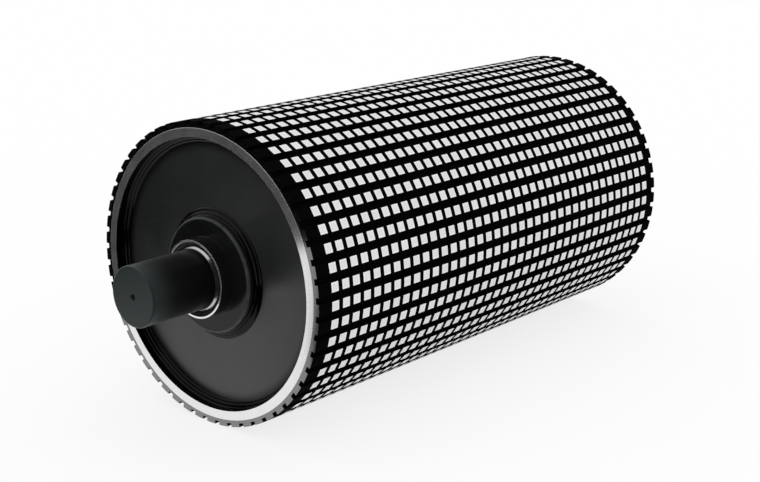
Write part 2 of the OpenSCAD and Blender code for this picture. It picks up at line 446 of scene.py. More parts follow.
def ceramic():
    """White alumina: each tile a shade of its own, greyer inside its border, and satin."""
    material, tree, shader = new_material("White alumina ceramic", specular=0.55)
    cloud = mottle(tree, scale=170.0, amount=0.12)
    dirt = specks(tree, scale=420.0, size=0.10)
    factor = times(tree, cloud["Factor"], attribute(tree, "tile_shade"))
    factor = darkened(tree, factor, attribute(tree, "tile_middle"), share=0.17)
    factor = darkened(tree, factor, dirt["Mask"], share=0.10)
    tint = settings("finishes").ceramic
    add_surface(tree, shader, tint, factor, cloud["Mask"], roughness=(0.15, 0.25))
    add_bump(tree, shader, cloud["Mask"], strength=0.05, distance=0.0003)
    return material


def lagging_rubber():
    """Black moulded rubber with a dull, faintly uneven face."""
    return clouded(
        "Moulded black rubber",
        settings("finishes").rubber,
        scale=90.0,
        amount=0.5,
        roughness=(0.72, 0.9),
        bump=(0.25, 0.0006),
        specular=0.008,
    )


def trimmed_rubber():
    """The lagging's trimmed ends: smoother than its face, with the knife's fine marks."""
    material, tree, shader = new_material("Trimmed rubber edge", specular=1.0)
    shader.inputs["IOR"].default_value = 1.95
    marks = turning_marks(tree, rings_per_metre=700.0, unevenness=0.8)
    cloud = mottle(tree, scale=60.0, amount=0.4)
    tint = settings("finishes").rubber
    add_surface(tree, shader, tint, cloud["Factor"], marks["Mask"], roughness=(0.06, 0.11))
    add_bump(tree, shader, cloud["Mask"], strength=0.03, distance=0.0005)
    return material


def turned_steel(name, haze):
    """Machined steel with the tool's rings, dulled by a thin haze of oxide."""
    material, tree, shader = new_material(name)
    marks = turning_marks(tree, rings_per_metre=1100.0, unevenness=0.5)
    cloud = mottle(tree, scale=26.0, amount=0.12)
    tint = settings("finishes").shell_steel
    add_surface(tree, shader, tint, cloud["Factor"], marks["Mask"], roughness=(0.09, 0.15))
    metal = spread(tree, cloud["Mask"], 0.98 - haze, 1.02 - haze)
    put(tree, metal, shader.inputs["Metallic"])
    add_bump(tree, shader, marks["Height"], strength=0.015, distance=0.0002)
    return material


def satin_paint(name, tint, roughness, specular, dust=0.0, corner_shade_from=None, worn_highlit_edge=None):
    """Sprayed satin paint over steel, with a fine orange-peel face and faint turning marks.

    Past the radius given for the corner's shade, Metallic rises and the dark paint goes near black
    towards the rim's corner: painted shade.
    The round edge given by a radius and a distance from the middle is painted paler: wear and a
    painted highlight.
    """
    material, tree, shader = new_material(name, specular=specular)
    add_sheen(shader, dust)
    cloud = mottle(tree, scale=7.0, amount=0.45)
    factor = cloud["Factor"]
    # wear and a painted highlight: the cover's rounded edge is painted up to nine times paler
    if worn_highlit_edge:
        wear_and_highlight = times(tree, edge_wear_and_highlight(tree, *worn_highlit_edge, reach=0.0058), 8.0)
        factor = times(tree, factor, plus(tree, wear_and_highlight, 1.0))
    shine = (roughness - 0.05, roughness + 0.06)
    add_surface(tree, shader, tint, factor, cloud["Mask"], shine)
    # painted shade: Metallic rises towards the rim's corner, so the dark paint goes near black
    # there
    if corner_shade_from:
        corner = (corner_shade_from, settings("steelwork").shell_bore - 0.006)
        corner_shade = map_range(tree, axis_place(tree)[0], corner, (0.0, 1.0), smooth=True)
        put(tree, corner_shade, shader.inputs["Metallic"])
    peel = times(tree, mottle(tree, scale=150.0, amount=1.0)["Mask"], 0.3)
    marks = turning_marks(tree, rings_per_metre=240.0, unevenness=0.2)
    height = plus(tree, peel, times(tree, marks["Height"], 0.25))
    add_bump(tree, shader, height, strength=0.04, distance=0.0003)
    return material


def disc_paint():
    """The dark grey paint of the discs, with painted shade near black in the corner at the rim."""
    tint = settings("finishes").disc_paint
    return satin_paint("Dark grey disc paint", tint, 0.30, specular=0.62, corner_shade_from=0.236)


def weld_paint_and_shade():
    """The glossy black paint of the welds and of the shell's inside, darker than the discs: painted
    shade in the corners at the rim and the hub and in the shell's recess.
    """
    return satin_paint("Painted weld", settings("finishes").weld_paint_and_shade, 0.09, specular=0.14)


def hub_paint():
    """The darker paint of the hubs and covers, painted paler on the cover's rounded edge: wear and
    a painted highlight.
    """
    steel = settings("steelwork")
    inset = 0.3 * COVER_EDGE  # from the corner to the middle of its fillet
    edge = (steel.hub_radius - inset, HALF_LENGTH - steel.cover_face - inset)
    tint = settings("finishes").hub_paint
    return satin_paint(
        "Near-black hub paint", tint, 0.16, specular=0.22, dust=0.03, worn_highlit_edge=edge
    )


def oiled_steel():
    """A grey shaft with fine turning marks, darkened with painted shade everywhere but near its
    tips.
    """
    material, tree, shader = new_material("Dark oiled steel", specular=0.35)
    add_sheen(shader, 0.12)
    along = math_node(tree, "ABSOLUTE", axis_place(tree)[1])
    # painted shade: the shaft is twenty times darker except over the last 60 mm towards each tip
    painted_shade_fade = (SHAFT_TIP - 0.060, SHAFT_TIP - 0.001)
    painted_shade_factor = map_range(tree, along, painted_shade_fade, (0.05, 1.0), smooth=True)
    marks = turning_marks(tree, rings_per_metre=800.0, unevenness=0.6)
    cloud = mottle(tree, scale=24.0, amount=0.3)
    marked = spread(tree, marks["Mask"], 0.88, 1.12)
    factor = times(tree, times(tree, cloud["Factor"], painted_shade_factor), marked)
    tint = settings("finishes").shaft_steel
    add_surface(tree, shader, tint, factor, cloud["Mask"], roughness=(0.33, 0.42))
    add_bump(tree, shader, marks["Height"], strength=0.12, distance=0.0002)
    return material


def ground_steel(name, roughness, shade=1.0):
    """Bright ground steel, as on a seal's sleeve and a bearing's rings."""
    material, tree, shader = new_material(name, metallic=1.0)
    marks = turning_marks(tree, rings_per_metre=1400.0, unevenness=0.3)
    factor = times(tree, mottle(tree, scale=40.0, amount=0.1)["Factor"], shade)
    tint = settings("finishes").bright_steel
    add_surface(tree, shader, tint, factor, marks["Mask"], roughness)
    add_bump(tree, shader, marks["Height"], strength=0.06, distance=0.0002)
    return material


def spring_steel():
    """Blued spring steel of the circlips."""
    tint = settings("finishes").spring_steel
    return clouded("Blued spring steel", tint, 70.0, 0.4, roughness=(0.3, 0.42), metallic=1.0)


def cage_brass():
    """Machined brass of the ball cages."""
    tint = settings("finishes").brass
    return clouded("Machined brass", tint, 60.0, 0.2, roughness=(0.25, 0.38), metallic=1.0)


def seal_rubber():
    """Black nitrile rubber of the seals."""
    return clouded(
        "Seal rubber",
        settings("finishes").seal_rubber,
        scale=120.0,
        amount=0.4,
        roughness=(0.45, 0.6),
        bump=(0.1, 0.0003),
        specular=0.3,
    )


MAKERS = {
    "ceramic": ceramic,
    "lagging": lagging_rubber,
    "trimmed": trimmed_rubber,
    "shell": lambda: turned_steel("Turned steel", haze=0.08),
    "rim": lambda: turned_steel("Neck rim steel", haze=0.14),
    "disc": disc_paint,
    "weld": weld_paint_and_shade,
    "hub": hub_paint,
    "shaft": oiled_steel,
    "bright": lambda: ground_steel("Seal sleeve steel", roughness=(0.14, 0.22), shade=0.60),
    "bearing": lambda: ground_steel("Bearing steel", roughness=(0.08, 0.15)),
    "circlip": spring_steel,
    "brass": cage_brass,
    "seal": seal_rubber,
}
made = {}


def finish(name):
    """A finish by its short name, made on its first use."""
    if name not in made:
        made[name] = MAKERS[name]()
    return made[name]


# ---------------------------------------------------------------- mesh tools


def new_object(name, data):
    """An object in the scene's own collection."""
    thing = bpy.data.objects.new(name, data)
    bpy.context.scene.collection.objects.link(thing)
    return thing


def around(radius, turn, y):
    """The place at a radius and a turn from the top about the drum's axis."""
    return radius * math.sin(turn), y, radius * math.cos(turn)


def to_mesh(shape, name):
    """Turns a bmesh into a mesh, with its faces all pointing one way."""
    bmesh.ops.recalc_face_normals(shape, faces=shape.faces)
    mesh = bpy.data.meshes.new(name)
    shape.to_mesh(mesh)
    shape.free()
    return mesh


def rounded(corners, steps=5):
    """Rounds a closed profile's corners. A corner is (radius, y, fillet).

    A point just off each end of a fillet keeps the flat beside it shaded flat.
    """
    guard = 0.0001
    points = []
    count = len(corners)
    for i, (x, y, fillet) in enumerate(corners):
        here = Vector((x, y))
        if fillet <= 0:
            points.append((x, y))
            continue
        to_last = (Vector(corners[i - 1][:2]) - here).normalized()
        to_next = (Vector(corners[(i + 1) % count][:2]) - here).normalized()
        half = to_last.angle(to_next) / 2
        reach = fillet / math.tan(half)
        centre = here + (to_last + to_next).normalized() * fillet / math.sin(half)
        start, end = here + to_last * reach - centre, here + to_next * reach - centre
        sweep = math.pi - 2 * half
        if fillet > 2 * guard:
            points.append(tuple(here + to_last * (reach + guard)))
        for k in range(steps + 1):
            t = k / steps
            spoke = start * math.sin((1 - t) * sweep) + end * math.sin(t * sweep)
            points.append(tuple(centre + spoke / math.sin(sweep)))
        if fillet > 2 * guard:
            points.append(tuple(here + to_next * (reach + guard)))
    return points


def at_end(corners, side):
    """Turns depths below the shell's end into places along Y. Side is -1 for the front."""
    return [(radius, side * (HALF_LENGTH - depth), fillet) for radius, depth, fillet in corners]


def lathe(name, profile, sharp=32.0):
    """Turns (radius, y) points about the drum's axis into a closed piece, smooth but for edges.

    The profile is closed, or starts and ends on the axis. Edges sharper than sharp, in
    degrees, stay crisp.
    """
    steps = settings("steelwork").steps
    turns = [2 * math.pi * k / steps for k in range(steps)]
    shape = bmesh.new()
    rings = []
    for radius, y in profile:
        spots = [(0, y, 0)] if radius == 0 else [around(radius, turn, y) for turn in turns]
        rings.append([shape.verts.new(spot) for spot in spots])
    on_axis = len(rings[0]) == 1
    for i in range(len(rings) - 1 if on_axis else len(rings)):
        a, b = rings[i], rings[(i + 1) % len(rings)]
        for k in range(steps):
            m = (k + 1) % steps
            if len(a) == 1:
                shape.faces.new((a[0], b[k], b[m]))
            elif len(b) == 1:
                shape.faces.new((a[k], b[0], a[m]))
            else:
                shape.faces.new((a[k], b[k], b[m], a[m]))
    mesh = to_mesh(shape, name)
    mesh.polygons.foreach_set("use_smooth", [True] * len(mesh.polygons))
    mesh.set_sharp_from_angle(angle=math.radians(sharp))
    return new_object(name, mesh)


def dress(piece, *finishes):
    """Gives a piece its finishes. Its faces have the first."""
    for name in finishes:
        piece.data.materials.append(finish(name))
    return piece


def turned(name, side, corners, *finishes, steps=5, sharp=32.0):
    """A finished turned piece at one end. A corner is (radius, depth, fillet)."""
    profile = rounded(at_end(corners, side), steps)
    return dress(lathe(name, profile, sharp), *finishes)


def weld_section(corner, leg_a, leg_b, steps=8):
    """A fillet weld's section: its corner, and a hollow face with a low crown for each pass."""
    corner = Vector(corner)
    a, b = corner + Vector(leg_a), corner + Vector(leg_b)
    middle = (a + b) / 2
    pull = 0.6 * middle + 0.4 * corner
    outward = (middle - corner).normalized()
    count = WELD_PASSES * steps
    points = [(*corner, 0)]
    for k in range(count + 1):
        t = k / count
        hollow = (1 - t) ** 2 * a + 2 * t * (1 - t) * pull + t * t * b
        rise = WELD_CROWN * abs(math.sin(math.pi * WELD_PASSES * t))
        points.append((*(hollow + outward * rise), 0))
    return points


def paint_faces(piece, chosen):
    """Gives a piece's second finish to its chosen faces.

    Chosen is a test of a face's radius and its distance from the drum's middle.
    """
    for face in piece.data.polygons:
        x, y, z = face.center
        if chosen(math.hypot(x, z), abs(y)):
            face.material_index = 1


def place(piece, body, slot, *nodes):
    """Puts a finished piece on its body, in place of its CAD nodes."""
    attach(piece, body)
    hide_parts(*nodes)


def dress_node(node, name):
    """Gives a CAD node one of the finishes."""
    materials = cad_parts[node].data.materials
    materials.clear()
    materials.append(finish(name))


# --------------------------------------------------------- node-made lagging


def geometry_tree(name, inputs):
    """An empty Geometry Nodes tree and its inputs' sockets. An input is (name, kind, value)."""
    tree = bpy.data.node_groups.new(name, "GeometryNodeTree")
    for label, kind, value in inputs:
        socket = tree.interface.new_socket(name=label, in_out="INPUT", socket_type=kind)
        if value is not None:
            socket.default_value = value
    tree.interface.new_socket(
        name="Geometry", in_out="OUTPUT", socket_type="NodeSocketGeometry"
    )
    return tree, new_node(tree, "NodeGroupInput").outputs


def run_tree(tree, name, values):
    """Runs a tree on an empty object. Returns its result as an object with a plain mesh."""
    carrier = new_object(name + "_carrier", bpy.data.meshes.new(name + "_carrier"))
    modifier = carrier.modifiers.new(tree.name, "NODES")
    modifier.node_group = tree
    for item in tree.interface.items_tree:
        if item.in_out == "INPUT":
            modifier[item.identifier] = values[item.name]
    bpy.context.view_layer.update()
    evaluated = carrier.evaluated_get(bpy.context.evaluated_depsgraph_get())
    mesh = bpy.data.meshes.new_from_object(evaluated)
    if not mesh.polygons:
        raise RuntimeError(name + " didn't come out of its node tree")
    mesh.name = name
    carrier.modifiers.clear()
    bpy.data.objects.remove(carrier)
    return new_object(name, mesh)


def live(sockets, name):
    """A number socket of a node that has several of one name: the one in use."""
    return next(s for s in sockets if s.enabled and s.type == "VALUE" and s.name == name)


def raised(tree, mesh, height, selection=True):
    """Extrudes a mesh's chosen faces straight up. Returns its node."""
    return new_node(
        tree,
        "GeometryNodeExtrudeMesh",
        {"mode": "FACES"},
        Mesh=mesh,
        Selection=selection,
        Offset=join_xyz(tree, 0.0, 0.0, height),
        Offset_Scale=1.0,
        Individual=False,
    )


def drawn_in(tree, mesh, selection, margin, width):
    """Scales the chosen faces about their middle, so that a width loses a margin on each side."""
    share = over(tree, times(tree, margin, 2.0), width)
    return new_node(
        tree,
        "GeometryNodeScaleElements",
        {"domain": "FACE"},
        Geometry=mesh,
        Selection=selection,
        Scale=minus(tree, 1.0, share),
    ).outputs[0]


def stored(tree, geometry, domain, name, value, selection=True):
    """Stores a number under a name that materials can read."""
    node = new_node(
        tree,
        "GeometryNodeStoreNamedAttribute",
        {"data_type": "FLOAT", "domain": domain},
        Geometry=geometry,
        Selection=selection,
        Name=name,
    )
    put(tree, value, live(node.inputs, "Value"))
    return node.outputs[0]


def row_turn(tree, given, row):
    """The turn of a row about the drum's axis, from its number."""
    step = over(tree, times(tree, row, 2 * math.pi), given["Rows"])
    return plus(tree, given["First row"], step)


def stood(tree, points, unit, turn):
    """Stands a unit on each point and turns it about the drum's axis."""
    return new_node(
        tree,
        "GeometryNodeInstanceOnPoints",
        Points=points.outputs[0],
        Instance=unit,
        Rotation=join_xyz(tree, 0.0, turn, 0.0),
    ).outputs[0]


def merged(tree, geometry, distance):
    return new_node(
        tree, "GeometryNodeMergeByDistance", Geometry=geometry, Distance=distance
    ).outputs[0]


def made_real(tree, instances):
    return new_node(tree, "GeometryNodeRealizeInstances", Geometry=instances).outputs[0]


def faceted(tree, geometry):
    return new_node(
        tree, "GeometryNodeSetShadeSmooth", Geometry=geometry, Shade_Smooth=False
    ).outputs[0]


def finished(tree, geometry, material, selection=True):
    return new_node(
        tree,
        "GeometryNodeSetMaterial",
        Geometry=geometry,
        Material=material,
        Selection=selection,
    ).outputs[0]


def send_out(tree, geometry):
    """Makes a geometry the tree's result."""
    put(tree, geometry, new_node(tree, "NodeGroupOutput").inputs[0])


def tile_shape(tree, given):
    """One tile on its foot, with a bevelled top and a border round its face.

    Its face inside the border carries the number tile_middle.
    """
    width = given["Width"]
    outline = new_node(
        tree,
        "GeometryNodeCurvePrimitiveQuadrilateral",
        {"mode": "RECTANGLE"},
        Width=width,
        Height=width,
    )
    corners = new_node(
        tree,
        "GeometryNodeFilletCurve",
        {"mode": "POLY"},
        Curve=outline.outputs[0],
        Count=2,
        Radius=given["Corner"],
    )
    base = new_node(
        tree, "GeometryNodeFillCurve", {"mode": "NGONS"}, Curve=corners.outputs[0]
    ).outputs[0]
    walls = raised(tree, base, minus(tree, given["Height"], given["Edge"])).outputs
    bevel = raised(tree, walls["Mesh"], given["Edge"], walls["Top"]).outputs
    top = drawn_in(tree, bevel["Mesh"], bevel["Top"], given["Edge"], width)
    inner = raised(tree, top, 0.0, bevel["Top"]).outputs
    bordered = drawn_in(tree, inner["Mesh"], inner["Top"], given["Border"], width)
    marked = stored(tree, bordered, "POINT", "tile_middle", 1.0, inner["Top"])
    foot = new_node(tree, "GeometryNodeFlipFaces", Mesh=base)
    whole = new_node(tree, "GeometryNodeJoinGeometry")
    for source in (marked, foot.outputs[0]):
        tree.links.new(source, whole.inputs[0])
    return merged(tree, whole.outputs[0], 0.00001)


def tile_field():
    """A tree that stands square tiles in rows round the drum, each with a shade of its own."""
    tree, given = geometry_tree(
        "Tile field",
        (
            ("Rows", "NodeSocketInt", 53),
            ("Columns", "NodeSocketInt", 38),
            ("First row", "NodeSocketFloat", 0.0),
            ("Pitch", "NodeSocketFloat", 0.0287),
            ("Foot radius", "NodeSocketFloat", 0.2933),
            ("Width", "NodeSocketFloat", 0.02),
            ("Height", "NodeSocketFloat", 0.0065),
            ("Edge", "NodeSocketFloat", 0.0004),
            ("Corner", "NodeSocketFloat", 0.001),
            ("Border", "NodeSocketFloat", 0.0032),
            ("Seed", "NodeSocketInt", 7),
            ("Finish", "NodeSocketMaterial", None),
        ),
    )
    rows, columns, foot = given["Rows"], given["Columns"], given["Foot radius"]
    index = new_node(tree, "GeometryNodeInputIndex").outputs[0]
    row = math_node(tree, "FLOOR", over(tree, plus(tree, index, 0.5), columns))
    column = minus(tree, index, times(tree, row, columns))
    middle = over(tree, minus(tree, columns, 1.0), 2.0)
    turn = row_turn(tree, given, row)
    spot = join_xyz(
        tree,
        times(tree, foot, math_node(tree, "SINE", turn)),
        times(tree, minus(tree, column, middle), given["Pitch"]),
        times(tree, foot, math_node(tree, "COSINE", turn)),
    )
    points = new_node(
        tree, "GeometryNodePoints", Count=times(tree, rows, columns), Position=spot
    )
    tiles = stood(tree, points, tile_shape(tree, given), turn)
    chance = new_node(
        tree, "FunctionNodeRandomValue", {"data_type": "FLOAT"}, Seed=given["Seed"]
    )
    put(tree, 0.97, live(chance.inputs, "Min"))
    put(tree, 1.02, live(chance.inputs, "Max"))
    shaded = stored(tree, tiles, "INSTANCE", "tile_shade", live(chance.outputs, "Value"))
    flat = faceted(tree, made_real(tree, shaded))
    send_out(tree, finished(tree, flat, given["Finish"]))
    return tree


def row_ring():
    """A tree that turns one rubber row into the whole lagging."""
    tree, given = geometry_tree(
        "Row ring",
        (
            ("Row", "NodeSocketObject", None),
            ("Rows", "NodeSocketInt", 53),
            ("First row", "NodeSocketFloat", 0.0),
            ("Half length", "NodeSocketFloat", 0.575),
            ("Face finish", "NodeSocketMaterial", None),
            ("End finish", "NodeSocketMaterial", None),
        ),
    )
    unit = new_node(tree, "GeometryNodeObjectInfo", Object=given["Row"])
    points = new_node(tree, "GeometryNodePoints", Count=given["Rows"])
    turn = row_turn(tree, given, new_node(tree, "GeometryNodeInputIndex").outputs[0])
    rows = stood(tree, points, unit.outputs["Geometry"], turn)
    ring = faceted(tree, merged(tree, made_real(tree, rows), 0.000005))
    position = new_node(tree, "GeometryNodeInputPosition").outputs[0]
    spot = new_node(tree, "ShaderNodeSeparateXYZ", Vector=position)
    far = math_node(tree, "ABSOLUTE", spot.outputs["Y"])
    at_end_face = math_node(
        tree, "GREATER_THAN", far, minus(tree, given["Half length"], 0.0001)
    )
    whole = finished(tree, ring, given["Face finish"])
    send_out(tree, finished(tree, whole, given["End finish"], at_end_face))
    return tree


def half_section(lagging, pocket):
    """Half of a rubber row's section: (turn, radius) points from its middle to its side."""
    half_step = math.pi / lagging.rows
    top, floor = DRUM_RADIUS, DRUM_RADIUS - lagging.groove_depth
    edge = lagging.groove_edge
    lip = math.asin(pocket / top)

    def groove_wall(radius):
        """The turn at which the groove's wall stands."""
        return half_step - math.asin(lagging.groove_width / 2 / radius)

    return [
        (lip / 3, top),
        (lip, top),
        (groove_wall(top) - edge / top, top),
        (groove_wall(top - edge), top - edge),
        (groove_wall(floor), floor),
        (half_step, floor),
    ]


def pocket_edges(lagging, pocket):
    """The places along the drum where a row's pockets begin and end."""
    middle = (lagging.columns - 1) / 2
    centres = [(column - middle) * lagging.tile_pitch for column in range(lagging.columns)]
    return [centre + side * pocket for centre in centres for side in (-1, 1)]


def rubber_row():
    """One row of the lagging: half a groove on each side, and a pocket for each tile."""
    lagging = settings("lagging")
    half_step = math.pi / lagging.rows
    pocket = lagging.tile_width / 2 - lagging.rubber_lip + lagging.pocket_gap
    pocket_floor = DRUM_RADIUS - lagging.tile_drop - lagging.tile_height
    across = math.asin(pocket / pocket_floor)
    half = half_section(lagging, pocket)
    section = [(-turn, radius) for turn, radius in reversed(half)] + half
    left, right = len(half) - 2, len(half) + 1
    stations = [-HALF_LENGTH, *pocket_edges(lagging, pocket), HALF_LENGTH]
    shape = bmesh.new()

    def spot(turn, radius, y):
        return shape.verts.new(around(radius, turn, y))

    def face(*spots):
        shape.faces.new(spots)

    rings = [[spot(turn, radius, y) for turn, radius in section] for y in stations]
    for i, (a, b) in enumerate(zip(rings, rings[1:])):
        in_pocket = i % 2 == 1
        for k in range(len(section) - 1):
            if not (in_pocket and left <= k < right):
                face(a[k], b[k], b[k + 1], a[k + 1])
        if in_pocket:
            near = [spot(side * across, pocket_floor, stations[i]) for side in (-1, 1)]
            far = [spot(side * across, pocket_floor, stations[i + 1]) for side in (-1, 1)]
            face(near[0], far[0], far[1], near[1])  # the pocket's floor, then its walls
            face(a[left], b[left], far[0], near[0])
            face(a[right], near[1], far[1], b[right])
            face(*near, *reversed(a[left : right + 1]))
            face(*reversed(far), *b[left : right + 1])
    bond = settings("steelwork").shell_radius
    turns = (-half_step, 0.0, half_step)
    under = [[spot(turn, bond, y) for turn in turns] for y in (-HALF_LENGTH, HALF_LENGTH)]
    for k in range(2):
        face(under[0][k], under[0][k + 1], under[1][k + 1], under[1][k])
    middle = len(half)
    # each end face is closed in three parts, down to the shell
    for ring, base in ((rings[0], under[0]), (rings[-1], under[1])):
        face(*ring[:middle], base[1], base[0])
        face(ring[middle - 1], ring[middle], base[1])
        face(*ring[middle:], base[2], base[1])
    mesh = to_mesh(shape, "rubber_row")
    # the faces above the pockets' floors look out when their normals lean to +Z
    outer = [p for p in mesh.polygons if p.center.z > pocket_floor - 0.001]
    if sum(p.normal.z * p.area for p in outer) < 0:
        mesh.flip_normals()
    return new_object("rubber_row", mesh)


# --------------------------------------------------------------------- stage


def white_surroundings(strength):
    """A plain white world."""
    world = bpy.data.worlds.new("White surroundings")
    world.use_nodes = True
    sky = world.node_tree.nodes["Background"]
    sky.inputs["Color"].default_value = (1, 1, 1, 1)
    sky.inputs["Strength"].default_value = strength
    return world


def stood_camera(stage):
    """The camera at its place, turned and tilted towards the drum."""
    camera = bpy.data.cameras.new("Camera")
    camera.sensor_width = 36.0
    camera.lens = stage.lens
    camera.shift_x = stage.shift_x
    camera.shift_y = stage.shift_y
    camera.clip_end = 200.0
    stand = new_object("Camera", camera)
    stand.location = stage.camera_place
    stand.rotation_euler = (math.pi / 2 - stage.camera_tilt, 0.0, stage.camera_heading)
    return stand


def stage_card(name, points):
    """A four-cornered card that belongs to the stage."""
    mesh = bpy.data.meshes.new(name)
    mesh.from_pydata(points, [], [(0, 1, 2, 3)])
    card = new_object(name, mesh)
    return card


def flat_card(name, corners, height):
    """A level card."""
    return stage_card(name, [(x, y, height) for x, y in corners])


def upright_card(name, start, end, height, foot):
    """A card that stands on edge."""
    top = foot + height
    return stage_card(name, [(*start, foot), (*end, foot), (*end, top), (*start, top)])


def gloss_only(card):
    """Lets a card show in reflections and nowhere else."""
    card.visible_camera = False
    card.visible_diffuse = False
    card.visible_shadow = False


def flag_finish(name, level):
    """A plain glow, so that a flag has the same tone from end to end."""
    material = bpy.data.materials.new(name)
    material.use_nodes = True
    tree = material.node_tree
    tree.nodes.clear()
    glow = new_node(tree, "ShaderNodeEmission", Color=(1, 1, 1, 1), Strength=level)
    new_node(tree, "ShaderNodeOutputMaterial", Surface=glow.outputs[0])
    return material


def floor_finish(tint, lift):
    """A pale floor that keeps the drum's shadow, looks white, and is white in gloss."""
    material, tree, shader = new_material("Pale floor", specular=0.0, roughness=1.0)
    shader.inputs["Base Color"].default_value = (*tint, 1)
    path = new_node(tree, "ShaderNodeLightPath").outputs
    seen = times(tree, path["Is Camera Ray"], lift)
    white = math_node(tree, "MAXIMUM", seen, path["Is Glossy Ray"])
    mix = new_node(tree, "ShaderNodeMixShader", Fac=white)
    put(tree, shader.outputs[0], mix.inputs[1])
    put(tree, new_node(tree, "ShaderNodeEmission").outputs[0], mix.inputs[2])
    put(tree, mix.outputs[0], tree.nodes["Material Output"].inputs["Surface"])
    return material


# ----------------------------------------------------------------- operators


class PULLEY_OT_rubber(Operator):
    """Mould the grooved rubber lagging."""

    bl_idname = "pulley.rubber"
    bl_label = "Rubber lagging"

    def execute(self, context):
        lagging = settings("lagging")
        row = rubber_row()
        values = {
            "Row": row,
            "Rows": lagging.rows,
            "First row": lagging.first_row,
            "Half length": HALF_LENGTH,
            "Face finish": finish("lagging"),
            "End finish": finish("trimmed"),
        }
        piece = run_tree(row_ring(), "grooved_rubber", values)
        bpy.data.objects.remove(row)
        place(piece, "drum", "lagging_rubber", "rubber_lagging")
        return {"FINISHED"}


class PULLEY_OT_tiles(Operator):
    """Set the ceramic tiles in the lagging."""

    bl_idname = "pulley.tiles"
    bl_label = "Ceramic tiles"

    def execute(self, context):
        lagging = settings("lagging")
        values = {
            "Rows": lagging.rows,
            "Columns": lagging.columns,
            "First row": lagging.first_row,
            "Pitch": lagging.tile_pitch,
            "Foot radius": DRUM_RADIUS - lagging.tile_drop - lagging.tile_height,
            "Width": lagging.tile_width - 2 * lagging.rubber_lip,
            "Height": lagging.tile_height,
            "Edge": lagging.tile_edge,
            "Corner": lagging.tile_corner,
            "Border": lagging.tile_border,
            "Seed": lagging.seed,
            "Finish": finish("ceramic"),
        }
        piece = run_tree(tile_field(), "lagging_tiles", values)
        place(piece, "drum", "tile_ceramic", *("ceramic_tiles_%d" % i for i in (1, 2, 3, 4)))
        return {"FINISHED"}


class PULLEY_OT_shell(Operator):
    """Turn the steel shell: bright at its ends, and painted inside and under the lagging, its
    inside near black as painted shade in the recess.
    """

    bl_idname = "pulley.shell"
    bl_label = "Shell"

    def execute(self, context):
        steel = settings("steelwork")
        bore, outside = steel.shell_bore, steel.shell_radius
        front = [(bore, -HALF_LENGTH, BROKEN_EDGE), (outside, -HALF_LENGTH, BROKEN_EDGE)]
        rear = [(outside, HALF_LENGTH, BROKEN_EDGE), (bore, HALF_LENGTH, BROKEN_EDGE)]
        piece = dress(lathe("shell_tube", rounded(front + rear, steps=3)), "shell", "weld")
        inside = bore + 0.0005
        covered = HALF_LENGTH - 0.002  # painted up to 2 mm from the end
        paint_faces(piece, lambda radius, far: radius < inside or far < covered)
        place(piece, "drum", "shell_steel", "shell")
        return {"FINISHED"}


class PULLEY_OT_end_discs(Operator):
    """Make the end discs and their welds."""

    bl_idname = "pulley.end_discs"
    bl_label = "End discs and welds"

    def execute(self, context):
        steel = settings("steelwork")
        hub, bore = steel.hub_radius, steel.shell_bore
        outer, inner = steel.disc_set, steel.disc_set + steel.disc_thickness
        disc = [(hub, outer, 0), (bore, outer, 0), (bore, inner, 0), (hub, inner, 0)]
        rise, reach = HUB_WELD_LEGS
        rim = weld_section((bore, outer), (0.0, -RIM_WELD_LEG), (-RIM_WELD_LEG, 0.0))
        foot = weld_section((hub, outer), (0.0, -rise), (reach, 0.0))
        for end, side in ENDS:
            plate = turned(end + "_disc_plate", side, disc, "disc")
            place(plate, "drum", "disc_paint", end + "_end_disc")
            bead = turned(end + "_rim_bead", side, rim, "weld", sharp=50.0)
            place(bead, "drum", "disc_paint", end + "_rim_weld")
            bead = turned(end + "_hub_bead", side, foot, "weld", sharp=50.0)
            place(bead, "drum", "disc_paint", end + "_hub_weld")
        return {"FINISHED"}


class PULLEY_OT_hubs(Operator):
    """Make the hubs and the bearing covers with their necks."""

    bl_idname = "pulley.hubs"
    bl_label = "Hubs and covers"

    def execute(self, context):
        steel = settings("steelwork")
        outside, seat = steel.hub_radius, steel.bearing_radius
        hub = [
            (seat, steel.hub_face, BROKEN_EDGE),
            (outside, steel.hub_face, 0.0012),
            (outside, steel.hub_end, 0.003),
            (seat - HUB_SHOULDER, steel.hub_end, 0.001),
            (seat - HUB_SHOULDER, BEARING_INNER, 0),
            (seat, BEARING_INNER, 0),
        ]
        cover = [
            (steel.neck_bore, steel.hub_face, 0),
            (steel.neck_bore, -steel.neck_tip, 0.0004),
            (steel.neck_radius, -steel.neck_tip, 0.0004),
            (steel.neck_radius, steel.cover_face, 0.0006),
            (outside, steel.cover_face, COVER_EDGE),
            (outside, steel.hub_face, 0.0008),
            (seat, steel.hub_face, 0),
            (seat, BEARING_OUTER, 0.0008),
            (seat - SPIGOT_WALL, BEARING_OUTER, 0.0005),
            (seat - SPIGOT_WALL, steel.hub_face, 0),
        ]
        bright = HALF_LENGTH + steel.neck_tip - 0.0005
        rim = steel.neck_radius - 0.0002
        for end, side in ENDS:
            piece = turned(end + "_hub_casting", side, hub, "hub")
            place(piece, "drum", "hub_paint", end + "_hub")
            piece = turned(end + "_cover_and_neck", side, cover, "hub", "rim")
            paint_faces(piece, lambda radius, far: far > bright and radius < rim)
            place(piece, "drum", "hub_paint", end + "_bearing_cover")
        return {"FINISHED"}


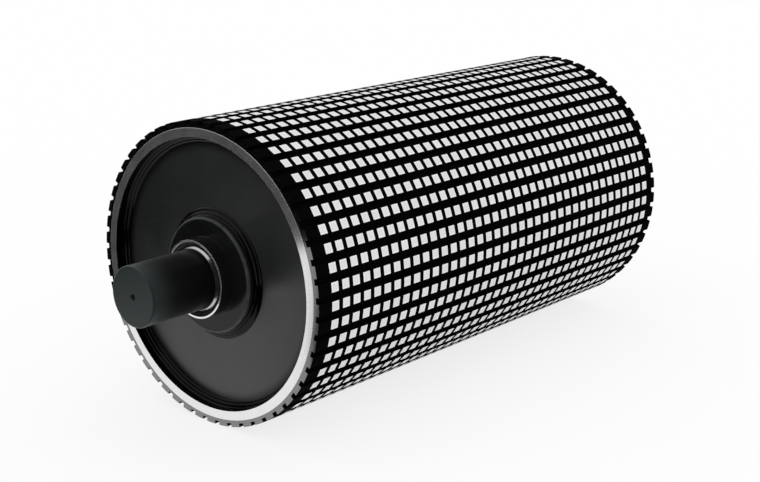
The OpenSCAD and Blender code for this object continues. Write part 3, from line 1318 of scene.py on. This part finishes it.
class PULLEY_OT_shaft(Operator):
    """Turn the shaft with its centre holes."""

    bl_idname = "pulley.shaft"
    bl_label = "Shaft"

    def execute(self, context):
        steel = settings("steelwork")
        stub, seat, mid, tip = steel.stub_radius, steel.seat_radius, steel.mid_radius, SHAFT_TIP
        shoulder = HALF_LENGTH - BEARING_INNER
        groove_in, groove_out = HALF_LENGTH - BEARING_OUTER, HALF_LENGTH - CIRCLIP_OUTER
        step = HALF_LENGTH + SEAT_REACH
        rear = [
            (mid, shoulder, 0.001),
            (seat, shoulder, 0),
            (seat, groove_in, 0),
            (seat - CIRCLIP_GROOVE, groove_in, 0),
            (seat - CIRCLIP_GROOVE, groove_out, 0),
            (seat, groove_out, 0),
            (seat, step, 0.0004),
            (stub, step, 0.0003),
            (stub, tip, 0.003),
            (CENTRE_MOUTH, tip, 0.0004),
            (CENTRE_DRILL, tip - CENTRE_CONE, 0),
            (CENTRE_DRILL, tip - CENTRE_DEPTH, 0),
            (0.0, tip - CENTRE_POINT, 0),
        ]
        front = [(radius, -y, fillet) for radius, y, fillet in reversed(rear)]
        piece = dress(lathe("turned_shaft", rounded(front + rear)), "shaft")
        place(piece, "shaft", "shaft_steel", "shaft")
        return {"FINISHED"}


class PULLEY_OT_seals(Operator):
    """Make the lip seals and the bright sleeves that they run on."""

    bl_idname = "pulley.seals"
    bl_label = "Seals and sleeves"

    def execute(self, context):
        steel = settings("steelwork")
        seat, bore = steel.seat_radius, steel.neck_bore
        sleeve_top = seat + SLEEVE_WALL
        lip = sleeve_top + LIP_GAP
        face = SEAL_SET - steel.neck_tip
        seal = [
            (lip, face + 0.0030, 0.0003),
            (lip + 0.0012, face + 0.0012, 0.0005),
            (lip + 0.0030, face + 0.0008, 0.0008),
            (bore - 0.0016, face, 0.0006),
            (bore, face + 0.0008, 0),
            (bore, face + SEAL_WIDTH, 0),
            (lip + 0.0040, face + SEAL_WIDTH, 0.0004),
            (lip + 0.0040, face + 0.0040, 0),
            (lip, face + 0.0042, 0),
        ]
        start = face - SLEEVE_OUT
        sleeve = [
            (seat, start, 0),
            (seat + 0.0005, start, 0.0003),
            (sleeve_top, start + SLEEVE_TAPER, 0.0015),
            (sleeve_top, start + SLEEVE_WIDTH, 0.0004),
            (seat, start + SLEEVE_WIDTH, 0),
        ]
        for end, side in ENDS:
            piece = turned(end + "_lip_seal", side, seal, "seal", steps=3)
            place(piece, "drum", "seal_rubber", end + "_shaft_seal")
            piece = turned(end + "_bright_sleeve", side, sleeve, "bright", steps=3)
            place(piece, "shaft", "bright_steel", end + "_seal_sleeve")
            dress_node(end + "_inner_seal", "seal")
        return {"FINISHED"}


class PULLEY_OT_bearings(Operator):
    """Finish the bearings and circlips inside the hubs."""

    bl_idname = "pulley.bearings"
    bl_label = "Bearings and circlips"

    def execute(self, context):
        for end, _side in ENDS:
            for part in ("_inner_ring", "_outer_ring", "_balls"):
                dress_node(end + part, "bearing")
            dress_node(end + "_cage", "brass")
            dress_node(end + "_circlip", "circlip")
        return {"FINISHED"}


class PULLEY_OT_stage(Operator):
    """Set up the floor, the light and the camera."""

    bl_idname = "pulley.stage"
    bl_label = "Stage"

    def execute(self, context):
        stage = settings("stage")
        scene = context.scene
        scene.view_settings.view_transform = "Standard"
        scene.world = white_surroundings(stage.sky)
        ground = CAD_BOX[0][2] - FLOOR_GAP
        signs = ((-1, -1), (1, -1), (1, 1), (-1, 1))
        corners = [(FLOOR_REACH * x, FLOOR_REACH * y) for x, y in signs]
        floor = flat_card("floor", corners, ground)
        floor.data.materials.append(floor_finish(stage.floor_colour, stage.floor_lift))
        foot = ground + FLAG_LIFT
        left = upright_card("left_flag", *LEFT_FLAG, foot)
        right = upright_card("right_flag", *RIGHT_FLAG, foot)
        low = flat_card("low_flag", LOW_FLAG, foot)
        left_tone = flag_finish("Left flag", stage.left_flag)
        right_tone = flag_finish("Right flag", stage.right_flag)
        for card, tone in ((left, left_tone), (right, right_tone), (low, right_tone)):
            gloss_only(card)
            card.data.materials.append(tone)
        scene.camera = stood_camera(stage)
        return {"FINISHED"}


# --------------------------------------------------------------------- panel

STEPS = (
    PULLEY_OT_rubber,
    PULLEY_OT_tiles,
    PULLEY_OT_shell,
    PULLEY_OT_end_discs,
    PULLEY_OT_hubs,
    PULLEY_OT_shaft,
    PULLEY_OT_seals,
    PULLEY_OT_bearings,
    PULLEY_OT_stage,
)
GROUPS = {
    "lagging": PULLEY_PG_lagging,
    "steelwork": PULLEY_PG_steelwork,
    "finishes": PULLEY_PG_finishes,
    "stage": PULLEY_PG_stage,
}


class PULLEY_PT_panel(Panel):
    """Lists the drum's settings and steps."""

    bl_label = "Conveyor pulley drum"
    bl_idname = "PULLEY_PT_panel"
    bl_space_type = "VIEW_3D"
    bl_region_type = "UI"
    bl_category = "Pulley"

    def draw(self, context):
        for step in STEPS:
            self.layout.operator(step.bl_idname, text=step.bl_label)
        for name, group in GROUPS.items():
            box = self.layout.box()
            box.label(text=group.__doc__)
            for key in group.__annotations__:
                box.prop(settings(name), key)


def register():
    for name, group in GROUPS.items():
        bpy.utils.register_class(group)
        setattr(bpy.types.Scene, "pulley_" + name, PointerProperty(type=group))
    for step in STEPS:
        bpy.utils.register_class(step)
    bpy.utils.register_class(PULLEY_PT_panel)


def unregister():
    bpy.utils.unregister_class(PULLEY_PT_panel)
    for step in reversed(STEPS):
        bpy.utils.unregister_class(step)
    for name, group in reversed(GROUPS.items()):
        delattr(bpy.types.Scene, "pulley_" + name)
        bpy.utils.unregister_class(group)


def main():
    """Registers the add-on and runs its steps."""
    register()
    for step in STEPS:
        area, name = step.bl_idname.split(".")
        getattr(getattr(bpy.ops, area), name)()


if __name__ == "__main__":
    main()
